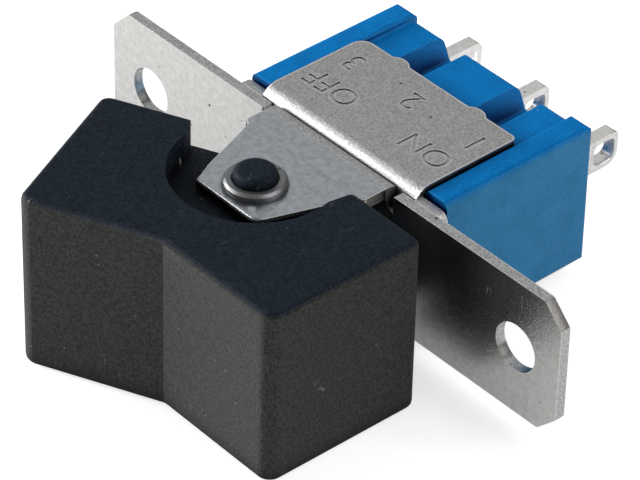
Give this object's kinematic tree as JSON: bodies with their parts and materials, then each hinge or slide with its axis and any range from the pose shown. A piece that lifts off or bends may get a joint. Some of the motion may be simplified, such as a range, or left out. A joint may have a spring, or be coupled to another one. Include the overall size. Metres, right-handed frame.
{
  "type": "miniature rocker switch",
  "caption": "Miniature single-pole panel rocker switch: chevron rocker between the ears of a steel mounting plate, clipped moulded housing and solder-lug terminals.",
  "frame": {"origin": "middle of the mounting plate's front face, between the two fixing holes", "axes": "+X along the mounting plate, +Y from the rocker back to the terminals, +Z along the rocker's pivot"},
  "size_m": [0.0308, 0.0276, 0.0094],
  "materials": {
    "plate_steel": "nickel-plated stamped sheet, bright",
    "clip_steel": "plated stamped sheet, satin",
    "liner_sheet": "matt fibre sheet",
    "housing_plastic": "moulded blue plastic, semi-gloss",
    "rocker_plastic": "fine-grained black plastic, matt",
    "plunger_nylon": "natural nylon",
    "spring_steel": "drawn wire",
    "blade_brass": "rolled sheet",
    "contact_silver": "silver alloy, polished",
    "terminal_tin": "tinned brass, satin",
    "seal_compound": "cast resin"
  },
  "bodies": {
    "base": {"mounting_plate": "plate_steel", "metal_frame": "clip_steel", "insulating_liner": "liner_sheet", "housing": "housing_plastic", "terminal_left": "terminal_tin", "terminal_common": "terminal_tin", "terminal_right": "terminal_tin", "fixed_contact_left": "contact_silver", "fixed_contact_right": "contact_silver", "seal_left": "seal_compound", "seal_common": "seal_compound", "seal_right": "seal_compound"},
    "rocker": {"rocker": "rocker_plastic", "plunger_spring": "spring_steel"},
    "plunger": {"plunger": "plunger_nylon"},
    "blade": {"contact_blade": "blade_brass", "blade_contact_left": "contact_silver", "blade_contact_right": "contact_silver"}
  },
  "joints": [
    {"name": "rocker_tilt", "type": "hinge", "parent": "base", "child": "rocker", "pos_m": [0, -0.00434, 0], "axis": [0, 0, 1], "range_deg": [-24, 0]},
    {"name": "plunger_slide", "type": "slide", "parent": "rocker", "child": "plunger", "axis": [0.2079, -0.9781, 0], "range_m": [0, 0.0005], "stiffness_N_per_m": 800, "springref_m": -0.0012, "deforming": ["plunger_spring"]},
    {"name": "blade_tilt", "type": "hinge", "parent": "base", "child": "blade", "pos_m": [0, 0.00647, 0], "axis": [0, 0, 1], "range_deg": [0, 8]}
  ],
  "couplings": [
    {"joint": "blade_tilt", "follows": "rocker_tilt", "ratio": -0.33333}
  ]
}
